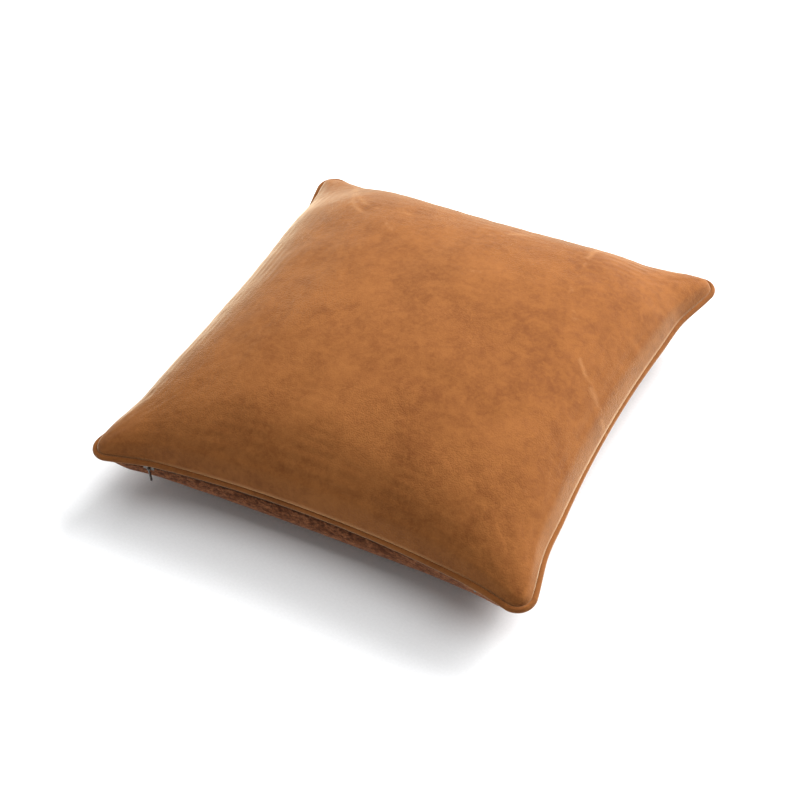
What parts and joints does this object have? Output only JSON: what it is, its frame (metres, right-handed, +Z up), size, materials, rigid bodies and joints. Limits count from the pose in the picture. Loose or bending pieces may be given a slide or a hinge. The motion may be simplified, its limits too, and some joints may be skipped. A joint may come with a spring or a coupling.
{
  "type": "throw pillow",
  "caption": "Square throw pillow with a leather front, velvet back, piped edge, concealed zip and removable inner pad.",
  "frame": {"origin": "middle of the face that the pillow rests on", "axes": "+Z up through the leather front; the zip side faces -Y, and its closed end is towards -X"},
  "size_m": [0.486, 0.486, 0.154],
  "materials": {
    "leather": "matte",
    "velvet": "matte",
    "piping_leather": "matte",
    "cotton_cord": "matte",
    "thread": "matte",
    "zip_tape": "matte",
    "zip_teeth": "satin",
    "zip_metal": "satin",
    "ticking": "matte",
    "filling": "matte",
    "pad_thread": "matte",
    "label_satin": "satin"
  },
  "bodies": {
    "cover": {"front_panel": "leather", "back_panel": "velvet", "welt_cover": "piping_leather", "welt_cord": "cotton_cord", "front_seam_thread": "thread", "back_seam_thread": "thread", "zip_tape_upper": "zip_tape", "zip_tape_lower": "zip_tape", "zip_teeth_upper": "zip_teeth", "zip_teeth_lower": "zip_teeth", "zip_stitch_upper": "thread", "zip_stitch_lower": "thread", "zip_top_stop_upper": "zip_metal", "zip_top_stop_lower": "zip_metal", "zip_bottom_stop": "zip_metal", "pad_ticking_upper": "ticking", "pad_ticking_lower": "ticking", "pad_filling": "filling", "pad_closing_stitch": "pad_thread", "care_label": "label_satin"},
    "slider": {"zip_slider": "zip_metal"},
    "pull": {"pull_tab": "zip_metal"}
  },
  "joints": [
    {"name": "zip_slide", "type": "hinge", "parent": "cover", "child": "slider", "pos_m": [0, -1.53809, 0.0597], "axis": [0, 0, -1], "range_deg": [0, 15.74]},
    {"name": "pull_swing", "type": "hinge", "parent": "slider", "child": "pull", "pos_m": [-0.18, -0.23598, 0.0597], "axis": [-0.9906, -0.1369, 0], "range_deg": [-8, 140]}
  ]
}
